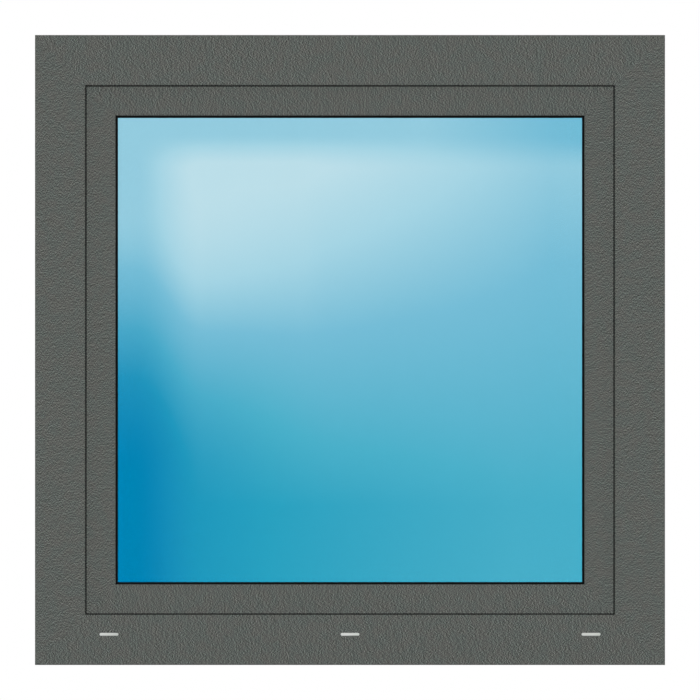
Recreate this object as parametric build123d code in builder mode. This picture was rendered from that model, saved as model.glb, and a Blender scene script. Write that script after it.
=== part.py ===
from build123d import *
import os
from dataclasses import dataclass

# Casement window of hollow foiled profiles, mitred and welded at the corners, with a double-glazed sash.
# Millimetres. X runs to the right as seen from outside, Y from the outside face to the room, Z up.
# The origin is the middle of the frame's underside.
# Sections are drawn in two numbers: u, from the window's outer edge towards the glass,
# and d, from the frame's outside face towards the room.

# Overall size
WIDTH = 900.0
HEIGHT = 900.0

# Walls that all the hollow profiles share
OUTER_WALL = 2.8
INNER_WALL = 2.2
WEB = 1.6
EDGE_RADIUS = 1.5

# Frame section
FRAME_DEPTH = 70.0
FRAME_FACE = 72.0
FRAME_REBATE = 44.0
STOP_LEG = 11.0
STEEL_ROOM = 36.0
CLIP_GROOVE_WIDTH = 7.0
CLIP_GROOVE_DEPTH = 3.0
CLIP_GROOVE_INSET = 12.0

# Sash section
SASH_PROUD = 14.0
SASH_FACE = 43.2
SASH_OVERLAP = 8.0
REBATE_AIR = 12.0
GLAZING_LEG = 16.0
GLAZING_REBATE = 25.0
LIP_RADIUS = 2.5
HARDWARE_GROOVE_WIDTH = 16.0
HARDWARE_GROOVE_DEPTH = 9.0
HARDWARE_AXIS = 13.0

# Seals and glazing gaskets, each with a root pressed into a groove
SEAL_GAP = 3.0
FRAME_SEAL_LIP = 1.6
FRAME_SEAL_WIDTH = 10.6
SASH_SEAL_WIDTH = 5.5
SASH_SEAL_INSET = 1.5
GASKET_GAP = 3.0
GASKET_LIP = 3.4
GASKET_WIDTH = 12.0
ROOT_WIDTH = 3.0
ROOT_DEPTH = 3.6
ROOT_FIT = 0.1
ROOT_INSET = 6.0
SEAL_RADIUS = 0.7

# Glazing bead
BEAD_TIP = 6.5
BEAD_SHOULDER = 8.0
BEAD_STEP = 1.0
BEAD_FOOT_WIDTH = 3.2
BEAD_FOOT_DEPTH = 4.5
BEAD_FOOT_INSET = 3.5
BEAD_FIT = 0.2

# Sealed glass unit
GLASS_THICKNESS = 24.0
PANE = 4.0
GLASS_EDGE_AIR = 5.0
SPACER_HEIGHT = 7.0
SPACER_INSET = 5.0
SPACER_WALL = 1.0
SPACER_CHAMFER = 1.5
BLOCK_LENGTH = 100.0
BLOCK_FROM_CORNER = 55.0

# Weep slots in the bottom of the frame, each with a hooded cap
WEEP_FROM_CORNER = 105.7
WEEP_HEIGHT = 43.8
WEEP_SLOT_LENGTH = 25.7
WEEP_SLOT_HEIGHT = 2.8
REBATE_WEEP_SHIFT = 60.0
REBATE_WEEP_HEIGHT = 4.0
CAP_RIM = 0.7
CAP_PROUD = 2.2
CAP_CHAMFER = 0.7
CAP_SKIN = 1.0
CAP_TONGUE = 2.6
CAP_HOOK = 1.2
CAP_FIT = 0.1

# Screw holes through the frame, in the middle of its depth
FIXING_HOLE = 6.2
FIXING_INSET = 150.0

# Handle on the room side, at the middle of the opening stile
ROSETTE_WIDTH = 30.0
ROSETTE_HEIGHT = 68.0
ROSETTE_THICKNESS = 11.0
ROSETTE_CORNER = 9.0
ROSETTE_CHAMFER = 2.0
NECK_RADIUS = 9.0
HANDLE_REACH = 48.0
LEVER_LENGTH = 118.0
LEVER_WIDTH = 21.0
LEVER_THICKNESS = 12.0
LEVER_HEAD = 10.5
LEVER_RADIUS = 4.0
LEVER_END_RADIUS = 7.0
LEVER_SHOULDER = 9.0
ELBOW_RADIUS = 14.0
ELBOW_INNER_RADIUS = 6.0

# Surface hinges on the room side, one near each end of the hanging stile
HINGE_KNUCKLE_RADIUS = 6.5
HINGE_KNUCKLE_LENGTH = 38.0
HINGE_FROM_END = 62.0
HINGE_LEAF = 3.0
HINGE_LEAF_REACH = 21.0
HINGE_LIP_AIR = 0.5
HINGE_KNUCKLE_GAP = 0.3
HINGE_CORNER_RADIUS = 4.0

# Places that follow from the sizes above
SASH_SETBACK = STOP_LEG + SEAL_GAP
SASH_ROOM_FACE = FRAME_DEPTH + SASH_PROUD
SASH_EDGE = FRAME_REBATE + REBATE_AIR
SASH_LIP_EDGE = FRAME_REBATE - SASH_OVERLAP
SASH_LIP_BACK = FRAME_DEPTH + SEAL_GAP
SASH_SIGHT = FRAME_FACE + SASH_FACE
SASH_FLOOR = SASH_SIGHT - GLAZING_REBATE
GLAZING_STOP = SASH_SETBACK + GLAZING_LEG
GLASS_FRONT = GLAZING_STOP + GASKET_GAP
GLASS_BACK = GLASS_FRONT + GLASS_THICKNESS
BEAD_FRONT = GLASS_BACK + GASKET_GAP
GLASS_EDGE = SASH_FLOOR + GLASS_EDGE_AIR
SASH_ROOT = SASH_SIGHT - ROOT_INSET
FRAME_ROOT = FRAME_FACE - ROOT_INSET
LIP_ROOT = SASH_LIP_EDGE + SASH_SEAL_INSET + SASH_SEAL_WIDTH / 2
BEAD_FOOT = BEAD_FRONT + BEAD_FOOT_INSET
GROOVE_AXIS = SASH_LIP_BACK - HARDWARE_AXIS
HANDLE_X = WIDTH / 2 - (SASH_LIP_EDGE + SASH_FLOOR) / 2
HANDLE_Z = HEIGHT / 2


@dataclass(frozen=True)
class Side:
    """One side of the window: the middle of its outer edge, the way to the glass, and its length."""

    name: str
    middle: tuple
    inward: tuple
    length: float

    def section_plane(self):
        """Plane across the side, with u along its x axis and d along its y axis."""
        inward = Vector(self.inward)
        outside = Vector(self.middle) - Vector(0, FRAME_DEPTH / 2, 0)
        return Plane(origin=outside, x_dir=inward, z_dir=inward.cross(Vector(0, 1, 0)))

    def edge_plane(self):
        """Plane on the outer edge, facing the glass, with its x axis along the side."""
        along = self.section_plane().z_dir
        return Plane(origin=self.middle, x_dir=along, z_dir=self.inward)

    def mitre_planes(self):
        """The two mitre planes, each facing the side's own material."""
        along = self.section_plane().z_dir
        for end in (-1, 1):
            corner = Vector(self.middle) + along * (end * self.length / 2)
            yield Plane(origin=corner, z_dir=-(along * end + Vector(self.inward)))


SIDES = (
    Side("bottom", (0, 0, 0), (0, 0, 1), WIDTH),
    Side("top", (0, 0, HEIGHT), (0, 0, -1), WIDTH),
    Side("left", (-WIDTH / 2, 0, HEIGHT / 2), (1, 0, 0), HEIGHT),
    Side("right", (WIDTH / 2, 0, HEIGHT / 2), (-1, 0, 0), HEIGHT),
)


def elevation(depth, x=0, z=0):
    """Plane parallel to the glass at a depth, facing outside, with axes along world X and Z."""
    return Plane(origin=(x, depth - FRAME_DEPTH / 2, z), x_dir=(1, 0, 0), z_dir=(0, -1, 0))


def write(piece, name):
    """Labels one finished piece and writes its file."""
    piece.label = name
    export_step(piece, f"parts/{name}.step")


def hollow(low, high, mode=Mode.SUBTRACT):
    """Rectangle of a section between two (u, d) corners, cut away unless the mode says otherwise."""
    size = Vector(high) - Vector(low)
    with Locations((Vector(low) + Vector(high)) * 0.5):
        Rectangle(size.X, size.Y, mode=mode)


def gasket_root(u, face, depth, width, mode):
    """Root of a gasket, or the groove for one, sunk from a face towards positive or negative d."""
    low, high = sorted((face, face + depth))
    hollow((u - width / 2, low), (u + width / 2, high), mode)


def mitred_bar(section, side):
    """Bar of one section along one side, cut to a mitre at both ends."""
    with BuildPart() as bar:
        with BuildSketch(side.section_plane()):
            add(section)
        extrude(amount=side.length / 2, both=True)
        for mitre in side.mitre_planes():
            split(bisect_by=mitre, keep=Keep.TOP)
    return bar.part


def mitred_ring(section):
    """The bars of one section on all four sides, joined at their mitres."""
    bars = [mitred_bar(section, side) for side in SIDES]
    with BuildPart() as ring:
        add(bars)
    return ring.part


# Frame section: an L with the stop leg outside, clip grooves round the edge and five chambers
with BuildSketch() as frame_section:
    with BuildLine():
        Polyline(
            (0, 0),
            (FRAME_FACE, 0),
            (FRAME_FACE, STOP_LEG),
            (FRAME_REBATE, STOP_LEG),
            (FRAME_REBATE, FRAME_DEPTH),
            (0, FRAME_DEPTH),
            close=True,
        )
    make_face()
    outside_corners = frame_section.vertices().group_by(Axis.Y)[0]
    room_corners = frame_section.vertices().group_by(Axis.Y)[-1]
    fillet(outside_corners + room_corners, EDGE_RADIUS)
    with Locations((0, CLIP_GROOVE_INSET), (0, FRAME_DEPTH - CLIP_GROOVE_INSET)):
        Rectangle(
            CLIP_GROOVE_DEPTH,
            CLIP_GROOVE_WIDTH,
            align=(Align.MIN, Align.CENTER),
            mode=Mode.SUBTRACT,
        )
    gasket_root(FRAME_ROOT, STOP_LEG, -ROOT_DEPTH, ROOT_WIDTH, Mode.SUBTRACT)
    leg_back = STOP_LEG - INNER_WALL
    steel_back = STOP_LEG + STEEL_ROOM
    rear_room = (FRAME_DEPTH - OUTER_WALL - steel_back - 2 * WEB) / 2
    chamber_foot = CLIP_GROOVE_DEPTH + OUTER_WALL
    chamber_head = FRAME_REBATE - OUTER_WALL
    drain_floor = WEEP_HEIGHT - WEEP_SLOT_HEIGHT / 2 - WEB
    hollow((chamber_foot, OUTER_WALL), (drain_floor - WEB, leg_back))
    hollow((drain_floor, OUTER_WALL), (FRAME_ROOT - ROOT_WIDTH / 2 - INNER_WALL, leg_back))
    hollow((chamber_foot, STOP_LEG), (chamber_head, steel_back))
    for start in (steel_back + WEB, steel_back + 2 * WEB + rear_room):
        hollow((chamber_foot, start), (chamber_head, start + rear_room))

# Sash section: glazing leg outside, lip over the frame on the room side, grooves for hardware and bead
with BuildSketch() as sash_section:
    with BuildLine():
        Polyline(
            (SASH_EDGE, SASH_SETBACK),
            (SASH_SIGHT, SASH_SETBACK),
            (SASH_SIGHT, GLAZING_STOP),
            (SASH_FLOOR, GLAZING_STOP),
            (SASH_FLOOR, SASH_ROOM_FACE),
            (SASH_LIP_EDGE, SASH_ROOM_FACE),
            (SASH_LIP_EDGE, SASH_LIP_BACK),
            (SASH_EDGE, SASH_LIP_BACK),
            close=True,
        )
    make_face()
    fillet(sash_section.vertices().group_by(Axis.Y)[0].sort_by(Axis.X)[-1], EDGE_RADIUS)
    fillet(sash_section.vertices().group_by(Axis.Y)[-1].sort_by(Axis.X)[0], LIP_RADIUS)
    gasket_root(SASH_ROOT, GLAZING_STOP, -ROOT_DEPTH, ROOT_WIDTH, Mode.SUBTRACT)
    gasket_root(LIP_ROOT, SASH_LIP_BACK, ROOT_DEPTH, ROOT_WIDTH, Mode.SUBTRACT)
    groove_low = GROOVE_AXIS - HARDWARE_GROOVE_WIDTH / 2
    groove_high = GROOVE_AXIS + HARDWARE_GROOVE_WIDTH / 2
    groove_foot = SASH_EDGE + HARDWARE_GROOVE_DEPTH
    hollow((SASH_EDGE, groove_low), (groove_foot, groove_high))
    foot_groove_end = BEAD_FOOT + BEAD_FOOT_WIDTH + 2 * BEAD_FIT
    foot_groove_floor = SASH_FLOOR - BEAD_FOOT_DEPTH - BEAD_FIT
    hollow((foot_groove_floor, BEAD_FOOT), (SASH_FLOOR, foot_groove_end))
    leg_tip = SASH_ROOT - ROOT_WIDTH / 2 - INNER_WALL
    hollow((SASH_EDGE + OUTER_WALL, SASH_SETBACK + OUTER_WALL), (leg_tip, GLAZING_STOP - INNER_WALL))
    steel_head = SASH_FLOOR - OUTER_WALL
    hollow((SASH_EDGE + OUTER_WALL, GLAZING_STOP), (steel_head, groove_low - INNER_WALL))
    hollow((groove_foot + INNER_WALL, groove_low), (foot_groove_floor - INNER_WALL, groove_high))
    lip_chamber_foot = LIP_ROOT + ROOT_WIDTH / 2 + INNER_WALL
    lip_chamber_back = SASH_LIP_BACK + OUTER_WALL
    hollow((lip_chamber_foot, lip_chamber_back), (steel_head, SASH_ROOM_FACE - OUTER_WALL))

# Glazing bead section: clips into the sash by a foot, with a round shoulder on the room side
with BuildSketch() as bead_section:
    bead_back = SASH_ROOM_FACE - BEAD_STEP
    with BuildLine():
        Polyline(
            (SASH_FLOOR + BEAD_SHOULDER, bead_back),
            (SASH_FLOOR, bead_back),
            (SASH_FLOOR, BEAD_FRONT),
            (SASH_SIGHT, BEAD_FRONT),
            (SASH_SIGHT, BEAD_FRONT + BEAD_TIP),
        )
        TangentArc(
            (SASH_FLOOR + BEAD_SHOULDER, bead_back),
            (SASH_SIGHT, BEAD_FRONT + BEAD_TIP),
            tangent=(1, 0),
        )
    make_face()
    gasket_root(SASH_ROOT, BEAD_FRONT, ROOT_DEPTH, ROOT_WIDTH, Mode.SUBTRACT)
    foot_low = BEAD_FOOT + BEAD_FIT
    hollow((SASH_FLOOR - BEAD_FOOT_DEPTH, foot_low), (SASH_FLOOR, foot_low + BEAD_FOOT_WIDTH), Mode.ADD)
    bead_room_end = bead_back - INNER_WALL - BEAD_STEP
    bead_room_tip = SASH_FLOOR + BEAD_SHOULDER + INNER_WALL
    hollow((SASH_FLOOR + INNER_WALL, BEAD_FRONT + INNER_WALL), (bead_room_tip, bead_room_end))

# Gasket and seal sections: a strip in the gap between two faces, with its root in one of them
with BuildSketch() as frame_seal_section:
    seal_tip = FRAME_FACE + FRAME_SEAL_LIP
    hollow((seal_tip - FRAME_SEAL_WIDTH, STOP_LEG), (seal_tip, SASH_SETBACK), Mode.ADD)
    fillet(frame_seal_section.vertices().group_by(Axis.X)[-1], SEAL_RADIUS)
    gasket_root(FRAME_ROOT, STOP_LEG, ROOT_FIT - ROOT_DEPTH, ROOT_WIDTH - 2 * ROOT_FIT, Mode.ADD)

with BuildSketch() as sash_seal_section:
    seal_start = SASH_LIP_EDGE + SASH_SEAL_INSET
    hollow((seal_start, FRAME_DEPTH), (seal_start + SASH_SEAL_WIDTH, SASH_LIP_BACK), Mode.ADD)
    fillet(sash_seal_section.vertices().group_by(Axis.X)[0], SEAL_RADIUS)
    gasket_root(LIP_ROOT, SASH_LIP_BACK, ROOT_DEPTH - ROOT_FIT, ROOT_WIDTH - 2 * ROOT_FIT, Mode.ADD)

gasket_tip = SASH_SIGHT + GASKET_LIP
with BuildSketch() as outer_gasket_section:
    hollow((gasket_tip - GASKET_WIDTH, GLAZING_STOP), (gasket_tip, GLASS_FRONT), Mode.ADD)
    fillet(outer_gasket_section.vertices().group_by(Axis.X)[-1], SEAL_RADIUS)
    gasket_root(SASH_ROOT, GLAZING_STOP, ROOT_FIT - ROOT_DEPTH, ROOT_WIDTH - 2 * ROOT_FIT, Mode.ADD)

with BuildSketch() as inner_gasket_section:
    hollow((gasket_tip - GASKET_WIDTH, GLASS_BACK), (gasket_tip, BEAD_FRONT), Mode.ADD)
    fillet(inner_gasket_section.vertices().group_by(Axis.X)[-1], SEAL_RADIUS)
    gasket_root(SASH_ROOT, BEAD_FRONT, ROOT_DEPTH - ROOT_FIT, ROOT_WIDTH - 2 * ROOT_FIT, Mode.ADD)

# Spacer bar section: a box between the panes, chamfered towards the daylight
with BuildSketch() as spacer_section:
    spacer_foot = GLASS_EDGE + SPACER_INSET
    spacer_front = GLASS_FRONT + PANE
    spacer_back = GLASS_BACK - PANE
    hollow((spacer_foot, spacer_front), (spacer_foot + SPACER_HEIGHT, spacer_back), Mode.ADD)
    chamfer(spacer_section.vertices().group_by(Axis.X)[-1], SPACER_CHAMFER)
    hollow(
        (spacer_foot + SPACER_WALL, spacer_front + SPACER_CHAMFER),
        (spacer_foot + SPACER_HEIGHT - SPACER_WALL, spacer_back - SPACER_CHAMFER),
    )


def frame_bar(side):
    """One side of the frame, with its screw holes, or with its weep slots at the bottom."""
    plain_bar = mitred_bar(frame_section.sketch, side)
    with BuildPart() as bar:
        add(plain_bar)
        if side.name == "bottom":
            with BuildSketch(elevation(0)):
                with Locations(*[(x, WEEP_HEIGHT) for x in weep_places()]):
                    SlotOverall(WEEP_SLOT_LENGTH, WEEP_SLOT_HEIGHT)
            extrude(amount=-OUTER_WALL, mode=Mode.SUBTRACT)
            rebate_weep = FRAME_REBATE + REBATE_WEEP_HEIGHT / 2
            with BuildSketch(elevation(STOP_LEG)):
                for x in weep_places():
                    inwards = -1 if x > 0 else 1
                    with Locations((x + inwards * REBATE_WEEP_SHIFT, rebate_weep)):
                        SlotOverall(WEEP_SLOT_LENGTH, REBATE_WEEP_HEIGHT)
            extrude(amount=INNER_WALL, mode=Mode.SUBTRACT)
        else:
            reach = side.length / 2 - FRAME_FACE - FIXING_INSET
            with BuildSketch(side.edge_plane()):
                with Locations((-reach, 0), (reach, 0)):
                    Circle(FIXING_HOLE / 2)
            extrude(amount=FRAME_REBATE, mode=Mode.SUBTRACT)
    return bar.part


def weep_places():
    """X of each weep slot."""
    outermost = WIDTH / 2 - WEEP_FROM_CORNER
    return (-outermost, 0, outermost)


def pane(front):
    """One sheet of the sealed unit, with its outside face at a depth."""
    with BuildPart() as sheet:
        with BuildSketch(elevation(front, z=HEIGHT / 2)):
            Rectangle(WIDTH - 2 * GLASS_EDGE, HEIGHT - 2 * GLASS_EDGE)
        extrude(amount=-PANE)
    return sheet.part


def setting_block(hand):
    """Plastic block in the sash's rebate that carries the glass unit at one end."""
    with BuildPart() as block:
        middle = WIDTH / 2 - GLASS_EDGE - BLOCK_FROM_CORNER - BLOCK_LENGTH / 2
        with BuildSketch(elevation(GLASS_FRONT, hand * middle, SASH_FLOOR)):
            Rectangle(BLOCK_LENGTH, GLASS_EDGE_AIR, align=(Align.CENTER, Align.MIN))
        extrude(amount=-GLASS_THICKNESS)
    return block.part


def drain_cap(x):
    """Hooded cap on one weep slot: open below, held by a tongue at each end of the slot."""
    height = WEEP_SLOT_HEIGHT + 2 * CAP_RIM
    tongue_end = WEEP_SLOT_LENGTH / 2 - WEEP_SLOT_HEIGHT / 2 - CAP_FIT
    mouth = 2 * (tongue_end - CAP_TONGUE)
    with BuildPart() as cap:
        with BuildSketch(elevation(0)):
            with Locations((x, WEEP_HEIGHT)):
                SlotOverall(WEEP_SLOT_LENGTH + 2 * CAP_RIM, height)
        extrude(amount=CAP_PROUD)
        chamfer(cap.faces().sort_by(Axis.Y)[0].edges(), CAP_CHAMFER)
        with BuildSketch(elevation(0)):
            with Locations((x, WEEP_HEIGHT + WEEP_SLOT_HEIGHT / 2)):
                Rectangle(mouth, height, align=(Align.CENTER, Align.MAX))
        extrude(amount=CAP_PROUD - CAP_SKIN, mode=Mode.SUBTRACT)
        with BuildSketch(elevation(0)):
            with Locations((x - tongue_end, WEEP_HEIGHT)):
                Rectangle(CAP_TONGUE, WEEP_SLOT_HEIGHT - 2 * CAP_FIT, align=(Align.MIN, Align.CENTER))
            with Locations((x + tongue_end, WEEP_HEIGHT)):
                Rectangle(CAP_TONGUE, WEEP_SLOT_HEIGHT - 2 * CAP_FIT, align=(Align.MAX, Align.CENTER))
        extrude(amount=-(OUTER_WALL + CAP_HOOK))
    return cap.part


def handle_rosette():
    """Base plate of the handle on the opening stile."""
    with BuildPart() as rosette:
        with BuildSketch(elevation(SASH_ROOM_FACE, HANDLE_X, HANDLE_Z)):
            RectangleRounded(ROSETTE_WIDTH, ROSETTE_HEIGHT, ROSETTE_CORNER)
        extrude(amount=-ROSETTE_THICKNESS)
        chamfer(rosette.faces().sort_by(Axis.Y)[-1].edges(), ROSETTE_CHAMFER)
    return rosette.part


def handle_lever():
    """Lever of the handle in its shut position, hanging from a round neck."""
    neck_start = SASH_ROOM_FACE + ROSETTE_THICKNESS
    outer = SASH_ROOM_FACE + HANDLE_REACH - FRAME_DEPTH / 2
    inner = outer - LEVER_THICKNESS
    root = inner - LEVER_SHOULDER
    side_view = Plane(origin=(HANDLE_X, 0, HANDLE_Z), x_dir=(0, 1, 0), z_dir=(1, 0, 0))
    with BuildPart() as lever:
        with BuildSketch(side_view) as outline:
            with BuildLine():
                Polyline(
                    (root, LEVER_HEAD),
                    (outer, LEVER_HEAD),
                    (outer, -LEVER_LENGTH),
                    (inner, -LEVER_LENGTH),
                    (inner, -LEVER_HEAD),
                    (root, -LEVER_HEAD),
                    close=True,
                )
            make_face()
            fillet(outline.vertices().group_by(Axis.Y)[0].sort_by(Axis.X)[-1], LEVER_END_RADIUS)
            fillet(outline.vertices().group_by(Axis.Y)[-1].sort_by(Axis.X)[-1], ELBOW_RADIUS)
            fillet(outline.vertices().sort_by_distance((inner, -LEVER_HEAD))[0], ELBOW_INNER_RADIUS)
        extrude(amount=LEVER_WIDTH / 2, both=True)
        flanks = lever.faces().sort_by(Axis.X)
        rims = (flanks[0].edges() + flanks[-1].edges()).sort_by(Axis.Y)
        fillet(rims[2:], LEVER_RADIUS)
        with BuildSketch(elevation(neck_start, HANDLE_X, HANDLE_Z)):
            Circle(NECK_RADIUS)
        extrude(amount=neck_start - FRAME_DEPTH / 2 - inner)
    return lever.part


def hinge_leaf(on_frame, at_top):
    """One leaf of a hinge with its knuckle: the frame's leaf stands nearer the window's end."""
    knuckle_u = SASH_LIP_EDGE - HINGE_LIP_AIR - HINGE_KNUCKLE_RADIUS
    knuckle_d = SASH_ROOM_FACE + HINGE_LEAF - HINGE_KNUCKLE_RADIUS
    near = HINGE_FROM_END if on_frame else HINGE_FROM_END + HINGE_KNUCKLE_LENGTH + HINGE_KNUCKLE_GAP
    low = HEIGHT - near - HINGE_KNUCKLE_LENGTH if at_top else near
    with BuildPart() as leaf:
        with BuildSketch(Plane(origin=(-WIDTH / 2, -FRAME_DEPTH / 2, low))):
            with Locations((knuckle_u, knuckle_d)):
                Circle(HINGE_KNUCKLE_RADIUS)
            if on_frame:
                seat = (knuckle_u - HINGE_LEAF_REACH, FRAME_DEPTH)
                block = (knuckle_u - HINGE_KNUCKLE_RADIUS, FRAME_DEPTH)
                hollow(seat, (knuckle_u, FRAME_DEPTH + HINGE_LEAF), Mode.ADD)
                hollow(block, (knuckle_u + HINGE_KNUCKLE_RADIUS, knuckle_d), Mode.ADD)
            else:
                tip = (SASH_LIP_EDGE + HINGE_LEAF_REACH, SASH_ROOM_FACE + HINGE_LEAF)
                hollow((knuckle_u, SASH_ROOM_FACE), tip, Mode.ADD)
        extrude(amount=HINGE_KNUCKLE_LENGTH)
        free_end = 0 if on_frame else -1
        fillet(leaf.edges().filter_by(Axis.Y).group_by(Axis.X)[free_end], HINGE_CORNER_RADIUS)
    return leaf.part


os.makedirs("parts", exist_ok=True)

SASH_NAMES = {"bottom": "bottom_rail", "top": "top_rail", "left": "left_stile", "right": "right_stile"}
for side in SIDES:
    write(frame_bar(side), f"frame_{side.name}")
    write(mitred_bar(sash_section.sketch, side), f"sash_{SASH_NAMES[side.name]}")
    write(mitred_bar(bead_section.sketch, side), f"bead_{side.name}")

write(mitred_ring(frame_seal_section.sketch), "frame_seal")
write(mitred_ring(sash_seal_section.sketch), "sash_seal")
write(mitred_ring(outer_gasket_section.sketch), "outer_glazing_gasket")
write(mitred_ring(inner_gasket_section.sketch), "inner_glazing_gasket")
write(mitred_ring(spacer_section.sketch), "glass_spacer")
write(pane(GLASS_FRONT), "outer_pane")
write(pane(GLASS_BACK - PANE), "inner_pane")
write(setting_block(-1), "setting_block_left")
write(setting_block(1), "setting_block_right")

for name, x in zip(("left", "middle", "right"), weep_places()):
    write(drain_cap(x), f"drain_cap_{name}")

write(handle_rosette(), "handle_rosette")
write(handle_lever(), "handle_lever")
for level, at_top in (("upper", True), ("lower", False)):
    write(hinge_leaf(True, at_top), f"{level}_hinge_frame_leaf")
    write(hinge_leaf(False, at_top), f"{level}_hinge_sash_leaf")
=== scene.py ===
"""Dresses the window: grained film, seals, tinted double glazing with a painted sky reflection, weep caps,
handle and hinges.
"""

from __future__ import annotations

import logging
import math
from dataclasses import dataclass
from enum import Enum

import bmesh
import bpy
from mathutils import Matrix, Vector

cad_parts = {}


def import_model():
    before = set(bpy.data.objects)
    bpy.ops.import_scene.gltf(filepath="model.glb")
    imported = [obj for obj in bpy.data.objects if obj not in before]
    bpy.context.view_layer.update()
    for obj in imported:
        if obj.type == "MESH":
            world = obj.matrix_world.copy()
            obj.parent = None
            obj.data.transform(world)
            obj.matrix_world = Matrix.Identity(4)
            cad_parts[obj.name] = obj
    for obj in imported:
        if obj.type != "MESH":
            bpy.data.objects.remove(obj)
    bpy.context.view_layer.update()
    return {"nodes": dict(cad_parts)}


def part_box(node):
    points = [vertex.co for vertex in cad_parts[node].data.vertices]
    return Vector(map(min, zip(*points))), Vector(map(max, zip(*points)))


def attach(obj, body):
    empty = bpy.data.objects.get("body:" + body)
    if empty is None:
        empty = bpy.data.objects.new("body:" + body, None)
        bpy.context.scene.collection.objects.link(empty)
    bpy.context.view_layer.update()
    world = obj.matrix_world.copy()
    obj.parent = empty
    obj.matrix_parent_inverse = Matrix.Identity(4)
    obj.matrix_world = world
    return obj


LOG = logging.getLogger("window")
BODY = "root"
GLASS_BEND = 1.05

Rgba = tuple[float, float, float, float]
Triple = tuple[float, float, float]
Span = tuple[float, float]
Rings = tuple[Triple, ...]
Names = tuple[str, ...]
Pieces = dict[str, bpy.types.Object]
Material = bpy.types.Material
Node = bpy.types.Node
Socket = bpy.types.NodeSocket

# The standard curve of screen colours: straight near black, then a power
SCREEN_WHITE = 255.0
STRAIGHT_END = 0.04045
STRAIGHT_SLOPE = 12.92
CURVE_OFFSET = 0.055
CURVE_POWER = 2.4


def srgb(red: float, green: float, blue: float) -> Rgba:
    """Turns a screen colour into the linear colour that a shader takes.

    Args:
        red: Red from 0 to 255.
        green: Green from 0 to 255.
        blue: Blue from 0 to 255.

    Returns:
        Linear red, green and blue, with an alpha of 1.
    """
    linear = []
    for level in (red, green, blue):
        share = level / SCREEN_WHITE
        curved = ((share + CURVE_OFFSET) / (1.0 + CURVE_OFFSET)) ** CURVE_POWER
        linear.append(share / STRAIGHT_SLOPE if share <= STRAIGHT_END else curved)
    return (linear[0], linear[1], linear[2], 1.0)


@dataclass(frozen=True)
class Noise:
    """A noise: its features per unit of place, its finer layers and how strong they are."""

    scale: float = 1.0
    detail: float = 0.0
    rough: float = 0.5


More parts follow.
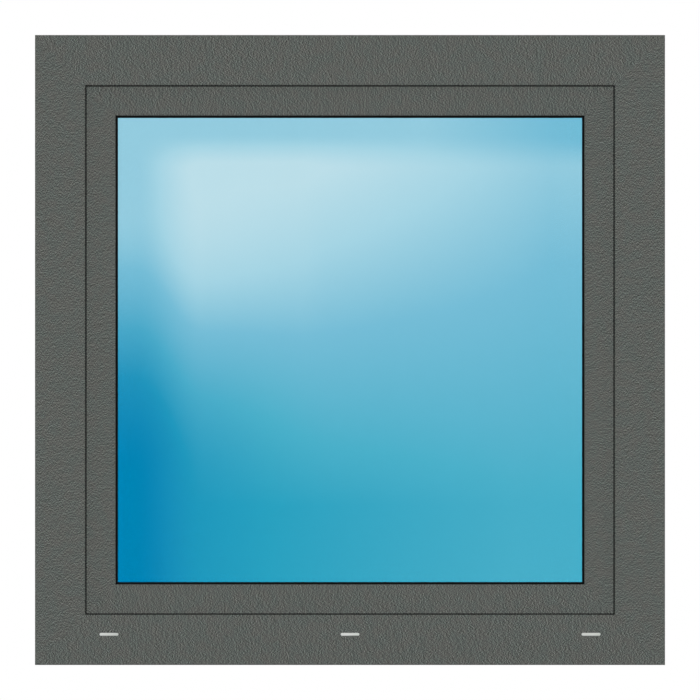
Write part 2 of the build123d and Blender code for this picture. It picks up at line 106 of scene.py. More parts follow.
class Graph:
    """Adds nodes to one node tree and links them."""

    NOISE_MIDDLE = 0.5

    def __init__(self, tree: bpy.types.NodeTree) -> None:
        """Keeps the tree that the nodes go into."""
        self.tree = tree

    def add(self, kind: str, **settings: object) -> Node:
        """Adds one node.

        Args:
            kind: Type name of the node, such as ShaderNodeMath.
            **settings: Properties to set on the node.

        Returns:
            The new node.
        """
        node = self.tree.nodes.new(kind)
        for name, value in settings.items():
            setattr(node, name, value)
        return node

    def put(self, target: Socket, value: object) -> None:
        """Links a socket to an input, or sets the input to a constant.

        Args:
            target: Input socket.
            value: Output socket to link, or a constant.
        """
        if isinstance(value, bpy.types.NodeSocket):
            self.tree.links.new(value, target)
        else:
            target.default_value = value

    def fill(self, node: Node, values: dict[str, object]) -> None:
        """Links or sets inputs of a node by their names."""
        for name, value in values.items():
            self.put(node.inputs[name], value)

    def math(self, operation: str, *values: object, clamp: bool = False) -> Socket:
        """Adds a Math node.

        Args:
            operation: Name of the operation.
            *values: Sockets or numbers for its inputs.
            clamp: Whether the result is held between 0 and 1.

        Returns:
            The node's value.
        """
        node = self.add("ShaderNodeMath", operation=operation, use_clamp=clamp)
        for socket, value in zip(node.inputs, values):
            self.put(socket, value)
        return node.outputs[0]

    def vector(self, operation: str, *values: object) -> Socket:
        """Adds a Vector Math node.

        Args:
            operation: Name of the operation.
            *values: Sockets or triples for its inputs.

        Returns:
            The node's vector.
        """
        node = self.add("ShaderNodeVectorMath", operation=operation)
        for socket, value in zip(node.inputs, values):
            self.put(socket, value)
        return node.outputs[0]

    def split(self, place: Socket) -> tuple[Socket, ...]:
        """Splits a place.

        Args:
            place: Place to split.

        Returns:
            Its X, Y and Z.
        """
        node = self.add("ShaderNodeSeparateXYZ")
        self.put(node.inputs[0], place)
        return tuple(node.outputs)

    def remap(
        self,
        value: object,
        low: float,
        high: float,
        to_low: float = 0.0,
        to_high: float = 1.0,
        smooth: bool = False,
    ) -> Socket:
        """Maps a value from one range to another and holds it there.

        Args:
            value: Socket or number to map.
            low: Start of the range it comes from.
            high: End of the range it comes from.
            to_low: Result at the start.
            to_high: Result at the end.
            smooth: Whether the ends ease in and out.

        Returns:
            The mapped value.
        """
        easing = "SMOOTHSTEP" if smooth else "LINEAR"
        node = self.add("ShaderNodeMapRange", interpolation_type=easing, clamp=True)
        self.fill(node, {"Value": value, "From Min": low, "From Max": high})
        self.fill(node, {"To Min": to_low, "To Max": to_high})
        return node.outputs["Result"]

    def noise(self, position: Socket, kind: Noise) -> Socket:
        """Adds a noise texture.

        Args:
            position: Place to look up.
            kind: The noise's features.

        Returns:
            The noise, around 0.5.
        """
        node = self.add("ShaderNodeTexNoise", noise_dimensions="3D")
        self.fill(node, {"Vector": position, "Scale": kind.scale})
        self.fill(node, {"Detail": kind.detail, "Roughness": kind.rough})
        return node.outputs["Fac"]

    def swing(self, value: Socket, amount: object) -> Socket:
        """Turns a value around 0.5 into a swing around 0.

        Args:
            value: Value to turn, such as a noise.
            amount: What the swing is multiplied by.

        Returns:
            The swing.
        """
        centred = self.math("SUBTRACT", value, self.NOISE_MIDDLE)
        return self.math("MULTIPLY", centred, amount)

    def mix(self, factor: object, first: object, second: object) -> Socket:
        """Mixes two colours.

        Args:
            factor: Share of the second colour.
            first: First colour or socket.
            second: Second colour or socket.

        Returns:
            The mixed colour.
        """
        node = self.add("ShaderNodeMix", data_type="RGBA")
        self.put(node.inputs["Factor"], factor)
        colours = [socket for socket in node.inputs if socket.type == "RGBA"]
        self.put(colours[0], first)
        self.put(colours[1], second)
        return next(socket for socket in node.outputs if socket.type == "RGBA")

    def mix_values(self, factor: object, first: object, second: object) -> Socket:
        """Mixes two numbers.

        Args:
            factor: Share of the second number.
            first: First number or socket.
            second: Second number or socket.

        Returns:
            The mixed number.
        """
        node = self.add("ShaderNodeMix", data_type="FLOAT")
        self.fill(node, {"Factor": factor, "A": first, "B": second})
        return node.outputs["Result"]

    def shade(self, colour: Socket, level: Socket) -> Socket:
        """Makes a colour lighter or darker.

        Args:
            colour: Colour to change.
            level: What it is multiplied by.

        Returns:
            The changed colour.
        """
        node = self.add("ShaderNodeVectorMath", operation="SCALE")
        self.put(node.inputs[0], colour)
        self.put(node.inputs["Scale"], level)
        return node.outputs[0]

    def ramp(self, value: Socket, stops: tuple[tuple[float, Rgba], ...]) -> Socket:
        """Looks a value up in a row of colours.

        Args:
            value: Value from 0 to 1.
            stops: Place and colour of each stop, in order.

        Returns:
            The colour there.
        """
        node = self.add("ShaderNodeValToRGB")
        row = node.color_ramp.elements
        while len(row) < len(stops):
            row.new(stops[len(row)][0])
        for element, (place, colour) in zip(row, stops):
            element.position = place
            element.color = colour
        self.put(node.inputs["Fac"], value)
        return node.outputs["Color"]


class Effect(Enum):
    """Surface effects that several finishes share, each one node group."""

    FILM_GRAIN = "film_grain"
    BARE_EDGE = "bare_edge"
    MOULDED_SKIN = "moulded_skin"
    SATIN_METAL = "satin_metal"


class EffectShelf:
    """Builds each shared effect once and places it in materials."""

    SOCKETS = {
        "Position": "NodeSocketVector",
        "Frequency": "NodeSocketVector",
        "Step": "NodeSocketVector",
        "Base": "NodeSocketColor",
        "Tint": "NodeSocketColor",
        "Contrast": "NodeSocketFloat",
        "Patches": "NodeSocketFloat",
        "Roughness": "NodeSocketFloat",
        "Half Width": "NodeSocketFloat",
        "Height": "NodeSocketFloat",
        "Half Depth": "NodeSocketFloat",
        "Reach": "NodeSocketFloat",
        "Color": "NodeSocketColor",
        "Relief": "NodeSocketFloat",
        "Mask": "NodeSocketFloat",
    }
    SURFACE = ("Color", "Roughness", "Relief")

    # Film grain, with painted light and painted shade on the strokes' flanks
    STROKES = Noise()
    SHADED_FLANK_SHARE = 0.8
    SHADED_END_SHARE = 0.15
    OUTWARD = (0.0, 1.0, 0.0)
    SCREEN_POWER = 2.2
    STROKE_GLOSS = -0.35
    PATCHES = Noise(75.0, 1.0)
    PATCH_SPAN = (0.35, 0.65)

    # Line where the film ends on the bare edge
    WANDER = Noise(60.0, 2.0)
    WANDER_WIDTH = 0.0016

    # Moulded skin
    PORES = Noise(1.0, 2.0, 0.6)
    CLOUDS = Noise(55.0, 3.0, 0.55)
    CLOUD_SPAN = (0.35, 0.7)
    CLOUD_GLOSS = 0.12

    # Satin metal
    LINES = Noise(1.0, 3.0, 0.6)
    LINE_GLOSS = 0.3
    MARKS = Noise(90.0, 4.0, 0.65)
    MARK_SPAN = (0.5, 0.75)
    MARK_GLOSS = 0.14

    def __init__(self) -> None:
        """Starts with no group built."""
        self._trees: dict[Effect, bpy.types.NodeTree] = {}

    def place(self, graph: Graph, effect: Effect, **values: object) -> Node:
        """Places an effect in a material.

        Args:
            graph: Graph of the material.
            effect: Effect to place.
            **values: Socket or constant for each input, with _ for a space in its name.

        Returns:
            The group node.
        """
        if effect not in self._trees:
            maker = {
                Effect.FILM_GRAIN: self._film_grain,
                Effect.BARE_EDGE: self._bare_edge,
                Effect.MOULDED_SKIN: self._moulded_skin,
                Effect.SATIN_METAL: self._satin_metal,
            }[effect]
            self._trees[effect] = maker(effect.value)
        node = graph.add("ShaderNodeGroup", node_tree=self._trees[effect])
        graph.fill(node, {name.replace("_", " ").title(): value for name, value in values.items()})
        return node

    def _open(self, name: str, inputs: Names, outputs: Names) -> tuple[Graph, dict[str, Socket], Node]:
        """Starts a node group.

        Args:
            name: Name of the group.
            inputs: Names of its input sockets.
            outputs: Names of its output sockets.

        Returns:
            Its graph, its inputs by name and its output node.
        """
        tree = bpy.data.node_groups.new(name, "ShaderNodeTree")
        for side, labels in (("INPUT", inputs), ("OUTPUT", outputs)):
            for label in labels:
                tree.interface.new_socket(name=label, in_out=side, socket_type=self.SOCKETS[label])
        graph = Graph(tree)
        start = graph.add("NodeGroupInput")
        end = graph.add("NodeGroupOutput")
        return graph, {label: start.outputs[label] for label in inputs}, end

    def _film_grain(self, name: str) -> bpy.types.NodeTree:
        """Short strokes pressed into film, with painted light on one flank and painted shade on the other,
        and wide faint patches.

        Args:
            name: Name of the group.

        Returns:
            The group.
        """
        inputs = ("Position", "Frequency", "Step", "Base", "Tint", "Contrast", "Patches", "Roughness")
        graph, given, end = self._open(name, inputs, self.SURFACE)
        place = given["Position"]
        beside = graph.vector("ADD", place, given["Step"])
        ahead = graph.vector("ADD", place, graph.vector("CROSS_PRODUCT", given["Step"], self.OUTWARD))
        strokes, shaded_flanks, ends = (
            graph.noise(graph.vector("MULTIPLY", spot, given["Frequency"]), self.STROKES)
            for spot in (place, beside, ahead)
        )
        # Painted emboss light and shade: each stroke's own tone less its neighbours beside and ahead, as
        # if light fell from one side
        grain_and_painted_shade = graph.math("ADD", strokes, graph.swing(shaded_flanks, -self.SHADED_FLANK_SHARE))
        grain_and_painted_shade = graph.math("ADD", grain_and_painted_shade, graph.swing(ends, -self.SHADED_END_SHARE))
        swing = graph.swing(grain_and_painted_shade, given["Contrast"])
        level = graph.math("MULTIPLY_ADD", swing, 1.0 / self.SCREEN_POWER, 1.0)
        level = graph.math("POWER", graph.math("MAXIMUM", level, 0.0), self.SCREEN_POWER)
        patch = graph.remap(graph.noise(place, self.PATCHES), *self.PATCH_SPAN)
        tinted = graph.mix(graph.math("MULTIPLY", patch, given["Patches"]), given["Base"], given["Tint"])
        colour = graph.shade(tinted, level)
        gloss = graph.swing(strokes, self.STROKE_GLOSS)
        rough = graph.math("ADD", given["Roughness"], gloss, clamp=True)
        graph.fill(end, {"Color": colour, "Roughness": rough, "Relief": strokes})
        return graph.tree

    def _bare_edge(self, name: str) -> bpy.types.NodeTree:
        """Marks the frame's outer edge, where the plastic is bare, and how deep into its grooves a place
        lies, which sets their painted shade.

        Args:
            name: Name of the group.

        Returns:
            The group.
        """
        inputs = ("Position", "Half Width", "Height", "Half Depth", "Reach")
        graph, given, end = self._open(name, inputs, ("Mask", "Relief"))
        sideways, across, rise = graph.split(given["Position"])
        side = graph.math("SUBTRACT", given["Half Width"], graph.math("ABSOLUTE", sideways))
        above = graph.math("SUBTRACT", given["Height"], rise)
        inset = graph.math("MINIMUM", side, graph.math("MINIMUM", rise, above))
        shallow = graph.math("LESS_THAN", inset, given["Reach"])
        wander = graph.swing(graph.noise(given["Position"], self.WANDER), self.WANDER_WIDTH)
        depth = graph.math("ADD", graph.math("ABSOLUTE", across), wander)
        between = graph.math("LESS_THAN", depth, given["Half Depth"])
        mask = graph.math("MULTIPLY", shallow, between)
        # Share of the groove's depth, which sets how much painted shade the bare plastic takes there
        relief = graph.math("DIVIDE", inset, given["Reach"], clamp=True)
        graph.fill(end, {"Mask": mask, "Relief": relief})
        return graph.tree

    def _moulded_skin(self, name: str) -> bpy.types.NodeTree:
        """Faint cloudy tone and fine pores of moulded plastic, rubber and paint.

        Args:
            name: Name of the group.

        Returns:
            The group.
        """
        inputs = ("Position", "Frequency", "Base", "Tint", "Contrast", "Patches", "Roughness")
        graph, given, end = self._open(name, inputs, self.SURFACE)
        stretched = graph.vector("MULTIPLY", given["Position"], given["Frequency"])
        pores = graph.noise(stretched, self.PORES)
        cloud = graph.remap(graph.noise(given["Position"], self.CLOUDS), *self.CLOUD_SPAN)
        tinted = graph.mix(graph.math("MULTIPLY", cloud, given["Patches"]), given["Base"], given["Tint"])
        colour = graph.shade(tinted, graph.math("ADD", graph.swing(pores, given["Contrast"]), 1.0))
        gloss = graph.swing(cloud, self.CLOUD_GLOSS)
        rough = graph.math("ADD", given["Roughness"], gloss, clamp=True)
        graph.fill(end, {"Color": colour, "Roughness": rough, "Relief": pores})
        return graph.tree

    def _satin_metal(self, name: str) -> bpy.types.NodeTree:
        """Fine drawn lines and faint handling marks of satin metal.

        Args:
            name: Name of the group.

        Returns:
            The group.
        """
        inputs = ("Position", "Frequency", "Base", "Contrast", "Roughness")
        graph, given, end = self._open(name, inputs, self.SURFACE)
        stretched = graph.vector("MULTIPLY", given["Position"], given["Frequency"])
        lines = graph.noise(stretched, self.LINES)
        marks = graph.remap(graph.noise(given["Position"], self.MARKS), *self.MARK_SPAN)
        swing = graph.swing(lines, given["Contrast"])
        colour = graph.shade(given["Base"], graph.math("ADD", swing, 1.0))
        rough = graph.math("MULTIPLY_ADD", marks, self.MARK_GLOSS, given["Roughness"])
        rough = graph.math("MULTIPLY_ADD", swing, self.LINE_GLOSS, rough, clamp=True)
        graph.fill(end, {"Color": colour, "Roughness": rough, "Relief": lines})
        return graph.tree


EFFECTS = EffectShelf()


def open_material(name: str) -> tuple[Material, Graph, Node, Socket]:
    """Starts a material with one Principled shader.

    Args:
        name: Name of the material.

    Returns:
        The material, its graph, its shader and the place on the object.
    """
    material = bpy.data.materials.new(name)
    material.use_nodes = True
    material.node_tree.nodes.clear()
    graph = Graph(material.node_tree)
    shader = graph.add("ShaderNodeBsdfPrincipled")
    output = graph.add("ShaderNodeOutputMaterial")
    graph.put(output.inputs["Surface"], shader.outputs["BSDF"])
    place = graph.add("ShaderNodeTexCoord").outputs["Object"]
    return material, graph, shader, place


def press(graph: Graph, shader: Node, relief: Socket, strength: float, depth: float) -> None:
    """Presses a relief into a shader's surface.

    Args:
        graph: Graph of the material.
        shader: Shader that takes the normal.
        relief: Height of the surface.
        strength: Strength of the relief.
        depth: Depth of the relief in metres.
    """
    bump = graph.add("ShaderNodeBump")
    graph.fill(bump, {"Strength": strength, "Distance": depth, "Height": relief})
    graph.put(shader.inputs["Normal"], bump.outputs["Normal"])


def glaze(graph: Graph, shader: Node, colour: Socket) -> None:
    """Makes a shader smooth glass of a colour."""
    graph.fill(shader, {"Base Color": colour, "Roughness": 0.0})
    graph.fill(shader, {"IOR": GLASS_BEND, "Transmission Weight": 1.0})


class BarRun(Enum):
    """Which way a bar lies. The strokes of its film run across it."""

    LEVEL = "level"
    UPRIGHT = "upright"


@dataclass(frozen=True)
class BareEdge:
    """Where the frame's film ends on its outer edge, and how deep the grooves there are."""

    half_width: float
    height: float
    half_depth: float
    groove: float


@dataclass(frozen=True)
class FilmFinish:
    """Grey laminate film with pressed strokes across the bar, painted lit and shaded on their flanks, and
    bare plastic where it ends, with painted shade in its grooves.
    """

    run: BarRun
    edge: BareEdge | None = None
    grey: Rgba = srgb(85.0, 87.0, 83.0)
    teal_grey: Rgba = srgb(82.1, 87.7, 83.9)
    along: float = 640.0
    across: float = 900.0
    through: float = 643.0
    # Offset of the painted shaded flank from each stroke
    stroke_step: float = 0.00128
    contrast: float = 2.45
    # Level bars take deeper grain and painted shade, standing in for the relief shading the top light
    # gives upright bars
    level_grain_and_shade_contrast: float = 2.65
    patches: float = 1.0
    roughness: float = 0.68
    gloss: float = 0.25
    relief: float = 0.25
    relief_depth: float = 0.0003
    core: Rgba = srgb(188, 191, 186)
    core_shade: Rgba = srgb(175, 178, 172)
    groove_painted_shade: Rgba = srgb(112, 115, 111)
    draw_lines: float = 900.0
    draw_run: float = 30.0
    core_contrast: float = 0.14
    core_patches: float = 0.5
    core_roughness: float = 0.52

    def lay(self, along: float, through: float, across: float) -> Triple:
        """Turns three numbers from the bar's own directions to X, Y and Z."""
        return (along, through, across) if self.run is BarRun.LEVEL else (across, through, along)

    def bare(self, graph: Graph, place: Socket, film: Node) -> tuple[Socket, Socket]:
        """Lets the plastic show where the film ends, with painted shade darkening it deeper in the
        grooves.

        Args:
            graph: Graph of the material.
            place: Place on the object.
            film: The film's effect.

        Returns:
            Colour and roughness of film and plastic together.
        """
        marks = EFFECTS.place(
            graph,
            Effect.BARE_EDGE,
            position=place,
            half_width=self.edge.half_width,
            height=self.edge.height,
            half_depth=self.edge.half_depth,
            reach=self.edge.groove,
        ).outputs
        core = EFFECTS.place(
            graph,
            Effect.MOULDED_SKIN,
            position=place,
            frequency=self.lay(self.draw_run, self.draw_lines, self.draw_lines),
            base=self.core,
            tint=self.core_shade,
            contrast=self.core_contrast,
            patches=self.core_patches,
            roughness=self.core_roughness,
        ).outputs
        # Painted shade: the bare plastic darkens deeper into the grooves
        plastic = graph.mix(marks["Relief"], core["Color"], self.groove_painted_shade)
        colour = graph.mix(marks["Mask"], film.outputs["Color"], plastic)
        roughness = graph.mix_values(marks["Mask"], film.outputs["Roughness"], core["Roughness"])
        return colour, roughness

    def material(self) -> Material:
        """Makes the film's material.

        Returns:
            The material.
        """
        bars = "frame" if self.edge else "sash"
        material, graph, shader, place = open_material(f"film_{bars}_{self.run.value}")
        film = EFFECTS.place(
            graph,
            Effect.FILM_GRAIN,
            position=place,
            frequency=self.lay(self.along, self.through, self.across),
            step=self.lay(self.stroke_step, 0.0, 0.0),
            base=self.grey,
            tint=self.teal_grey,
            contrast=self.level_grain_and_shade_contrast if self.run is BarRun.LEVEL else self.contrast,
            patches=self.patches,
            roughness=self.roughness,
        )
        colour, roughness = film.outputs["Color"], film.outputs["Roughness"]
        if self.edge:
            colour, roughness = self.bare(graph, place, film)
        graph.fill(shader, {"Base Color": colour, "Roughness": roughness})
        graph.put(shader.inputs["Specular IOR Level"], self.gloss)
        press(graph, shader, film.outputs["Relief"], self.relief, self.relief_depth)
        return material


@dataclass(frozen=True)
class MouldedFinish:
    """Moulded or painted surface with faint clouds and fine pores."""

    name: str
    base: Rgba
    tint: Rgba
    pores: Triple = (600.0, 600.0, 600.0)
    contrast: float = 0.12
    clouds: float = 0.6
    roughness: float = 0.5
    gloss: float = 0.4
    relief: float = 0.2
    relief_depth: float = 0.0002

    def material(self) -> Material:
        """Makes the material.

        Returns:
            The material.
        """
        material, graph, shader, place = open_material(self.name)
        skin = EFFECTS.place(
            graph,
            Effect.MOULDED_SKIN,
            position=place,
            frequency=self.pores,
            base=self.base,
            tint=self.tint,
            contrast=self.contrast,
            patches=self.clouds,
            roughness=self.roughness,
        ).outputs
        graph.fill(shader, {"Base Color": skin["Color"], "Roughness": skin["Roughness"]})
        graph.put(shader.inputs["Specular IOR Level"], self.gloss)
        press(graph, shader, skin["Relief"], self.relief, self.relief_depth)
        return material


@dataclass(frozen=True)
class MetalFinish:
    """Satin metal with drawn lines along one way."""

    name: str
    base: Rgba
    lines: Triple = (900.0, 900.0, 60.0)
    contrast: float = 0.3
    roughness: float = 0.32
    relief: float = 0.12
    relief_depth: float = 0.0001

    def paint(self, graph: Graph, place: Socket, metal: Socket) -> Socket:
        """Gives the colour of the bare metal, which a finish with more on it changes."""
        return metal

    def material(self) -> Material:
        """Makes the material.

        Returns:
            The material.
        """
        material, graph, shader, place = open_material(self.name)
        metal = EFFECTS.place(
            graph,
            Effect.SATIN_METAL,
            position=place,
            frequency=self.lines,
            base=self.base,
            contrast=self.contrast,
            roughness=self.roughness,
        ).outputs
        colour = self.paint(graph, place, metal["Color"])
        graph.fill(shader, {"Base Color": colour, "Roughness": metal["Roughness"], "Metallic": 1.0})
        press(graph, shader, metal["Relief"], self.relief, self.relief_depth)
        return material


@dataclass(frozen=True, kw_only=True)
class SpacerFinish(MetalFinish):
    """Drawn aluminium spacer bar with a row of small breather holes, painted as dark dots of shade."""

    middle: Vector
    name: str = "spacer_aluminium"
    base: Rgba = srgb(204, 207, 209)
    lines: Triple = (200.0, 1400.0, 200.0)
    contrast: float = 0.25
    roughness: float = 0.38
    relief: float = 0.1
    hole_shade: Rgba = srgb(40, 42, 44)
    pitch: float = 0.006
    hole_radius: float = 0.0008

    def paint(self, graph: Graph, place: Socket, metal: Socket) -> Socket:
        """Paints the holes as dark dots of painted shade, in one row along the middle of each side of the
        bar.

        Args:
            graph: Graph of the material.
            place: Place on the object.
            metal: Colour of the metal between the holes.

        Returns:
            Colour of metal and holes.
        """
        sideways, across, rise = graph.split(graph.vector("SUBTRACT", place, self.middle))
        reach, height = (graph.math("ABSOLUTE", part) for part in (sideways, rise))
        is_upright = graph.math("GREATER_THAN", reach, height)
        along = graph.math("MULTIPLY_ADD", graph.math("SUBTRACT", rise, sideways), is_upright, sideways)
        off = graph.math("PINGPONG", along, self.pitch / 2)
        square = graph.math("MULTIPLY_ADD", off, off, graph.math("MULTIPLY", across, across))
        holes = graph.math("LESS_THAN", square, self.hole_radius * self.hole_radius)
        # Painted shade: each hole is a dark dot on the metal, not a cut
        return graph.mix(holes, metal, self.hole_shade)


@dataclass(frozen=True)
class TintedGlassWithPaintedReflection:
    """Blue tinted glass with a painted reflection of sky and a soft light: it pales towards a painted
    light patch in its upper left part.
    """

    foot: Vector
    head: Vector
    deep_blue: Rgba = srgb(0, 132.5, 183)
    lake_blue: Rgba = srgb(24, 157, 190)
    edge_lake_blue: Rgba = srgb(34, 148.5, 189.5)
    teal: Rgba = srgb(75, 176, 202.5)
    edge_teal: Rgba = srgb(73, 168, 201.5)
    painted_sky: Rgba = srgb(118, 189, 215.5)
    painted_pale_sky: Rgba = srgb(166, 213, 229)
    painted_glare: Rgba = srgb(189, 223, 234)
    levels: tuple[float, ...] = (0.0, 0.233, 0.434, 0.664, 0.841, 1.0)
    patch_left: Span = (0.037, 0.184)
    patch_top: Span = (0.032, 0.115)
    foot_lift: float = 0.232
    foot_rise: float = 0.18
    foot_span: Span = (0.161, 0.854)
    head_tone: float = 0.769
    head_lift: float = 0.263
    head_drop: float = 0.268
    head_span: Span = (0.4, 0.93)
    strip_drop: float = 0.133
    strip_span: Span = (0.662, 1.0)
    fall_left: Span = (0.193, 0.768)
    fall_right: Span = (0.105, 0.835)
    fall_change: Span = (0.036, 0.448)
    edge_span: Span = (0.03, 0.33)

    def tone(self, graph: Graph, right: Socket, down: Socket) -> Socket:
        """Works out how far the painted reflection pales the glass at a place.

        Args:
            graph: Graph of the material.
            right: How far right the place lies, as a share of the daylight width.
            down: How far down it lies, as a share of the daylight height.

        Returns:
            Tone from 0, deep blue tint with no painted reflection, to 1, painted glare.
        """
        left_edge = graph.remap(right, *self.patch_left, smooth=True)
        top_edge = graph.remap(down, *self.patch_top, smooth=True)
        foot_rise = graph.remap(right, *self.foot_span, to_high=self.foot_rise)
        foot = graph.math("MULTIPLY_ADD", left_edge, self.foot_lift, foot_rise)
        head_drop = graph.remap(right, *self.head_span, to_high=self.head_drop)
        head_lift = graph.math("MULTIPLY_ADD", left_edge, self.head_lift, self.head_tone)
        head = graph.math("SUBTRACT", head_lift, head_drop)
        strip = graph.remap(right, *self.strip_span, self.head_tone, self.head_tone - self.strip_drop)
        eased = graph.remap(down, *self.fall_left, smooth=True)
        straight = graph.remap(down, *self.fall_right)
        change = graph.remap(right, *self.fall_change)
        fall = graph.mix_values(change, eased, straight)
        body = graph.mix_values(fall, head, foot)
        return graph.mix_values(top_edge, strip, body)

    def material(self) -> Material:
        """Makes the material.

        Returns:
            The material.
        """
        material, graph, shader, place = open_material("tinted_glass")
        sideways, _, rise = graph.split(place)
        right = graph.remap(sideways, self.foot.x, self.head.x)
        down = graph.remap(rise, self.head.z, self.foot.z)
        tone = self.tone(graph, right, down)
        # Painted reflection: both ramps run from the deep blue tint up to painted sky and glare; the row
        # at the left edge is bluer
        rows = []
        for lake, teal in ((self.edge_lake_blue, self.edge_teal), (self.lake_blue, self.teal)):
            colours = (self.deep_blue, lake, teal, self.painted_sky, self.painted_pale_sky, self.painted_glare)
            rows.append(graph.ramp(tone, tuple(zip(self.levels, colours))))
        glaze(graph, shader, graph.mix(graph.remap(right, *self.edge_span), *rows))
        return material


@dataclass(frozen=True)
class ClearGlassFinish:
    """Clear float glass with the faintest green and a trace of cleaning haze."""

    clear: Rgba = (0.985, 0.995, 0.99, 1.0)
    hazed: Rgba = (0.965, 0.985, 0.98, 1.0)
    wipes: Triple = (9.0, 9.0, 2.5)
    haze: Noise = Noise(1.0, 3.0)
    haze_span: Span = (0.45, 0.75)

    def material(self) -> Material:
        """Makes the material.

        Returns:
            The material.
        """
        material, graph, shader, place = open_material("clear_glass")
        wiped = graph.vector("MULTIPLY", place, self.wipes)
        haze = graph.remap(graph.noise(wiped, self.haze), *self.haze_span)
        glaze(graph, shader, graph.mix(haze, self.clear, self.hazed))
        return material


RUBBER = MouldedFinish(
    "seal_rubber",
    srgb(8, 10, 10),
    srgb(12, 14, 14),
    pores=(900.0, 900.0, 900.0),
    contrast=0.3,
    roughness=0.75,
    gloss=0.06,
)
CAP_PLASTIC = MouldedFinish(
    "cap_plastic",
    srgb(203, 206, 202),
    srgb(193, 197, 191),
    contrast=0.06,
    roughness=0.45,
    gloss=0.3,
)
BLOCK_PLASTIC = MouldedFinish("block_plastic", srgb(52, 84, 132), srgb(44, 72, 118), roughness=0.55)
HINGE_PAINT = MouldedFinish(
    "hinge_paint",
    srgb(150, 153, 154),
    srgb(138, 141, 142),
    pores=(1200.0, 1200.0, 1200.0),
    roughness=0.36,
    gloss=0.5,
)
BUSH_PLASTIC = MouldedFinish("bush_plastic", srgb(44, 46, 47), srgb(36, 38, 39), roughness=0.5)
HANDLE_METAL = MetalFinish("handle_metal", srgb(190, 192, 194))
SCREW_STEEL = MetalFinish("screw_steel", srgb(170, 170, 168), lines=(500.0, 500.0, 500.0), roughness=0.28)


def dress(nodes: Pieces, names: Names, material: Material) -> None:
    """Gives some pieces one material.

    Args:
        nodes: All the pieces by name.
        names: Pieces to dress.
        material: Material to give them.
    """
    for name in names:
        nodes[name].data.materials.clear()
        nodes[name].data.materials.append(material)
        LOG.info("%s wears %s", name, material.name)


def turned(name: str, rings: Rings, segments: int, lobes: int = 6) -> bpy.types.Mesh:
    """Makes a turned mesh about its own +Y axis, with lobed rings where a ring asks for them.

    Args:
        name: Name of the mesh.
        rings: Radius, height and lobe share of each ring, from the rim inwards.
        segments: Points on each ring.
        lobes: Lobes on a lobed ring.

    Returns:
        The mesh, closed at both ends.
    """
    shape = bmesh.new()
    rows = []
    for radius, height, share in rings:
        row = []
        for step in range(segments):
            angle = math.tau * step / segments
            reach = radius * (1.0 + share * math.cos(lobes * angle))
            row.append(shape.verts.new((reach * math.cos(angle), height, reach * math.sin(angle))))
        rows.append(row)
    for lower, upper in zip(rows, rows[1:]):
        for step in range(segments):
            after = (step + 1) % segments
            shape.faces.new((lower[step], upper[step], upper[after], lower[after]))
    shape.faces.new(rows[0])
    shape.faces.new(list(reversed(rows[-1])))
    bmesh.ops.recalc_face_normals(shape, faces=shape.faces)
    mesh = bpy.data.meshes.new(name)
    shape.to_mesh(mesh)
    shape.free()
    return mesh


def seat(name: str, mesh: bpy.types.Mesh, place: Triple, finish: Material) -> None:
    """Puts a made piece on the window.

    Args:
        name: Name of the piece.
        mesh: Its mesh.
        place: Where its origin goes.
        finish: Its material.
    """
    piece = bpy.data.objects.new(name, mesh)
    piece.location = place
    bpy.context.scene.collection.objects.link(piece)
    if not mesh.materials:
        mesh.materials.append(finish)
    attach(piece, BODY)
    LOG.info("%s made with %d faces", name, len(mesh.polygons))


@dataclass
class OuterFrame:
    """The four mitred bars that are fixed in the wall."""

    level_bars: Names = ("frame_top", "frame_bottom")
    upright_bars: Names = ("frame_left", "frame_right")
    film_wrap: float = 0.0062
    groove: float = 0.0033

    def build(self, nodes: Pieces) -> None:
        """Dresses the bars in film that wraps a little way onto their outer edge.

        Args:
            nodes: All the pieces by name.
        """
        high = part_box("frame_right")[1]
        edge = BareEdge(high.x, high.z, high.y - self.film_wrap, self.groove)
        dress(nodes, self.level_bars, FilmFinish(BarRun.LEVEL, edge).material())
        dress(nodes, self.upright_bars, FilmFinish(BarRun.UPRIGHT, edge).material())


@dataclass
class Sash:
    """The four mitred bars that hold the glass, with their beads."""

    level_bars: Names = ("sash_top_rail", "sash_bottom_rail", "bead_top", "bead_bottom")
    upright_bars: Names = ("sash_left_stile", "sash_right_stile", "bead_left", "bead_right")

    def build(self, nodes: Pieces) -> None:
        """Dresses rails, stiles and beads in film."""
        dress(nodes, self.level_bars, FilmFinish(BarRun.LEVEL).material())
        dress(nodes, self.upright_bars, FilmFinish(BarRun.UPRIGHT).material())


@dataclass
class Seals:
    """Rubber between frame and sash, and between sash and glass."""

    strips: Names = ("frame_seal", "sash_seal", "outer_glazing_gasket", "inner_glazing_gasket")

    def build(self, nodes: Pieces) -> None:
        """Dresses the strips in black rubber."""
        dress(nodes, self.strips, RUBBER.material())


@dataclass
class Glazing:
    """Sealed unit of a tinted pane with a painted sky reflection and a clear pane, with its spacer and
    setting blocks.
    """

    blocks: Names = ("setting_block_left", "setting_block_right")
    edge_cover: float = 0.0231

    def build(self, nodes: Pieces) -> None:
        """Dresses the panes, the spacer and the blocks.

        Args:
            nodes: All the pieces by name.
        """
        low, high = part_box("outer_pane")
        cover = Vector((self.edge_cover, 0.0, self.edge_cover))
        dress(nodes, ("outer_pane",), TintedGlassWithPaintedReflection(low + cover, high - cover).material())
        dress(nodes, ("inner_pane",), ClearGlassFinish().material())
        low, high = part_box("glass_spacer")
        dress(nodes, ("glass_spacer",), SpacerFinish(middle=(low + high) / 2).material())
        dress(nodes, self.blocks, BLOCK_PLASTIC.material())


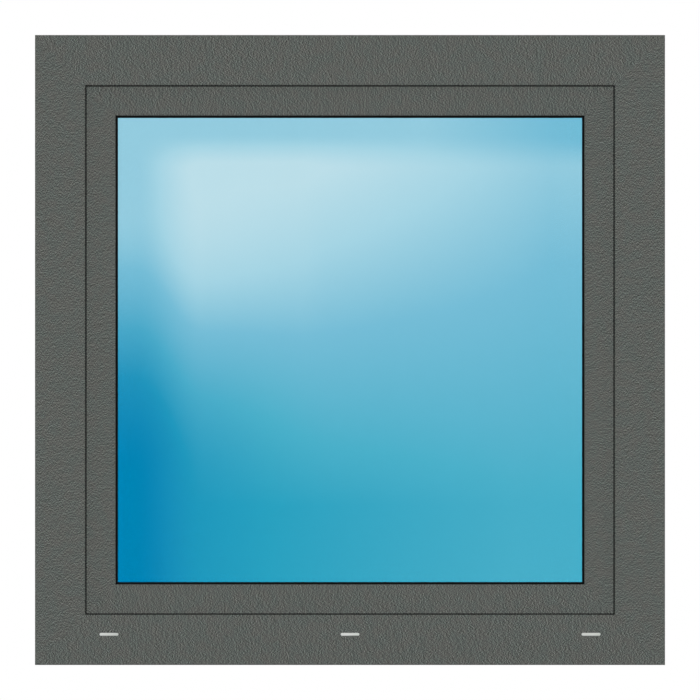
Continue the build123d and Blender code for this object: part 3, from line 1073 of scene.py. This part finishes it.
@dataclass
class WeepCaps:
    """Pale hooded caps on the weep slots."""

    caps: Names = ("drain_cap_left", "drain_cap_middle", "drain_cap_right")

    def build(self, nodes: Pieces) -> None:
        """Dresses the caps in pale plastic."""
        dress(nodes, self.caps, CAP_PLASTIC.material())


@dataclass
class Handle:
    """Rosette and lever on the room side, with a bush round the neck."""

    parts: Names = ("handle_rosette", "handle_lever")
    bush_segments: int = 48
    bush_rings: Rings = (
        (0.0116, 0.0, 0.0),
        (0.0116, 0.0012, 0.0),
        (0.0110, 0.0018, 0.0),
        (0.0092, 0.0018, 0.0),
        (0.0092, 0.0, 0.0),
    )

    def build(self, nodes: Pieces) -> None:
        """Dresses the handle and makes its bush.

        Args:
            nodes: All the pieces by name.
        """
        dress(nodes, self.parts, HANDLE_METAL.material())
        low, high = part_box("handle_rosette")
        middle = (low + high) / 2
        ring = turned("handle_bush", self.bush_rings, self.bush_segments)
        seat("handle_bush", ring, (middle.x, high.y, middle.z), BUSH_PLASTIC.material())


@dataclass
class Hinges:
    """Two surface hinges on the room side, each leaf held by two screws."""

    leaves: Names = (
        "upper_hinge_frame_leaf",
        "upper_hinge_sash_leaf",
        "lower_hinge_frame_leaf",
        "lower_hinge_sash_leaf",
    )
    screw_inset: float = 0.0065
    screw_from_end: float = 0.009
    head_segments: int = 36
    head_rings: Rings = (
        (0.0032, 0.0, 0.0),
        (0.0031, 0.00045, 0.0),
        (0.0026, 0.00095, 0.0),
        (0.0017, 0.00125, 0.0),
        (0.00135, 0.0013, 0.16),
        (0.00128, 0.00045, 0.16),
        (0.0004, 0.0004, 0.0),
    )

    def build(self, nodes: Pieces) -> None:
        """Dresses the leaves and makes their screws.

        Args:
            nodes: All the pieces by name.
        """
        dress(nodes, self.leaves, HINGE_PAINT.material())
        steel = SCREW_STEEL.material()
        head = turned("hinge_screw", self.head_rings, self.head_segments)
        leaf_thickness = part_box(self.leaves[1])[1].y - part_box("sash_left_stile")[1].y
        frame_leaf_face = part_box("frame_left")[1].y + leaf_thickness
        for leaf in self.leaves:
            low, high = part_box(leaf)
            on_frame = "frame" in leaf
            x = low.x + self.screw_inset if on_frame else high.x - self.screw_inset
            y = frame_leaf_face if on_frame else high.y
            for end, z in (("low", low.z + self.screw_from_end), ("high", high.z - self.screw_from_end)):
                seat(f"{leaf}_screw_{end}", head, (x, y, z), steel)


@dataclass(frozen=True)
class SoftBox:
    """A soft bright patch of the surroundings: where it lies, how wide it is and how strong."""

    toward: Triple
    rim_degrees: float
    core_degrees: float
    strength: float

    def light(self, graph: Graph, direction: Socket) -> Socket:
        """Adds the patch to the surroundings.

        Args:
            graph: Graph of the world.
            direction: Direction that is looked in.

        Returns:
            The patch's light in that direction.
        """
        facing = graph.add("ShaderNodeVectorMath", operation="DOT_PRODUCT")
        graph.put(facing.inputs[0], direction)
        graph.put(facing.inputs[1], self.toward)
        rim = math.cos(math.radians(self.rim_degrees))
        core = math.cos(math.radians(self.core_degrees))
        return graph.remap(facing.outputs["Value"], rim, core, 0.0, self.strength, smooth=True)


@dataclass
class Studio:
    """White surroundings with soft boxes, a pale floor and a camera square to the outside face."""

    view_width: float = 1.0
    distance: float = 4.0
    level_degrees: float = 90.0
    white: Rgba = (1.0, 1.0, 1.0, 1.0)
    white_strength: float = 1.0
    ambient: float = 0.11
    boxes: tuple[SoftBox, ...] = (
        SoftBox((0.0, -1.0, 0.0), 11.0, 6.0, 31.5),
        SoftBox((0.0, 0.0, 1.0), 12.0, 8.0, 13.0),
        SoftBox((0.0, 0.574, 0.819), 30.0, 20.0, 2.6),
        SoftBox((-0.866, 0.5, 0.0), 28.0, 18.0, 2.4),
        SoftBox((0.866, 0.5, 0.0), 28.0, 18.0, 2.1),
        SoftBox((0.0, 0.4, -0.917), 24.0, 16.0, 2.0),
    )
    floor_half: float = 15.0
    floor_drop: float = 0.0005
    floor_pale: Rgba = srgb(246, 246, 245)
    floor_cloud: Rgba = srgb(244, 244, 243)
    floor_clouds: Noise = Noise(3.0, 4.0)
    floor_span: Span = (0.35, 0.65)
    floor_roughness: float = 0.9
    floor_gloss: float = 0.1

    def build(self) -> None:
        """Builds the camera, the surroundings and the floor."""
        self._camera()
        self._surround()
        self._floor()

    def _camera(self) -> None:
        """Sets a level camera without perspective, square to the outside face."""
        lens = bpy.data.cameras.new("camera")
        lens.type = "ORTHO"
        lens.ortho_scale = self.view_width
        camera = bpy.data.objects.new("camera", lens)
        low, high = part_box("frame_left")
        camera.location = (0.0, -self.distance, (low.z + high.z) / 2)
        camera.rotation_euler = (math.radians(self.level_degrees), 0.0, 0.0)
        bpy.context.scene.collection.objects.link(camera)
        bpy.context.scene.camera = camera

    def _surround(self) -> None:
        """Makes the world white to look at, in mirrors and through glass, with soft boxes as its light."""
        world = bpy.data.worlds.new("surround")
        world.use_nodes = True
        world.node_tree.nodes.clear()
        graph = Graph(world.node_tree)
        direction = graph.add("ShaderNodeTexCoord").outputs["Generated"]
        light = self.ambient
        for box in self.boxes:
            light = graph.math("ADD", light, box.light(graph, direction))
        path = graph.add("ShaderNodeLightPath").outputs
        seen = graph.math("MAXIMUM", path["Is Camera Ray"], path["Is Glossy Ray"])
        seen = graph.math("MAXIMUM", seen, path["Is Transmission Ray"])
        shown = graph.mix_values(seen, light, self.white_strength)
        background = graph.add("ShaderNodeBackground")
        graph.fill(background, {"Color": self.white, "Strength": shown})
        output = graph.add("ShaderNodeOutputWorld")
        graph.put(output.inputs["Surface"], background.outputs["Background"])
        bpy.context.scene.world = world

    def _floor(self) -> None:
        """Lays the pale floor just under the window. It takes shadows and leaves the soft boxes open."""
        half = self.floor_half
        mesh = bpy.data.meshes.new("floor")
        corners = [(-half, -half, 0.0), (half, -half, 0.0), (half, half, 0.0), (-half, half, 0.0)]
        mesh.from_pydata(corners, [], [(0, 1, 2, 3)])
        floor = bpy.data.objects.new("floor", mesh)
        floor.location = (0.0, 0.0, -self.floor_drop)
        material, graph, shader, place = open_material("floor")
        cloud = graph.remap(graph.noise(place, self.floor_clouds), *self.floor_span)
        graph.put(shader.inputs["Base Color"], graph.mix(cloud, self.floor_pale, self.floor_cloud))
        graph.put(shader.inputs["Roughness"], self.floor_roughness)
        graph.put(shader.inputs["Specular IOR Level"], self.floor_gloss)
        mesh.materials.append(material)
        floor.visible_diffuse = False
        floor.visible_shadow = False
        bpy.context.scene.collection.objects.link(floor)


def main() -> None:
    """Loads the window, dresses each assembly and builds the studio around it."""
    logging.basicConfig(level=logging.INFO, format="%(name)s: %(message)s")
    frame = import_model()
    nodes = frame["nodes"]
    bpy.context.scene.view_settings.view_transform = "Standard"
    for assembly in (OuterFrame(), Sash(), Seals(), Glazing(), WeepCaps(), Handle(), Hinges()):
        assembly.build(nodes)
    Studio().build()
    bpy.context.view_layer.update()


if __name__ == "__main__":
    main()
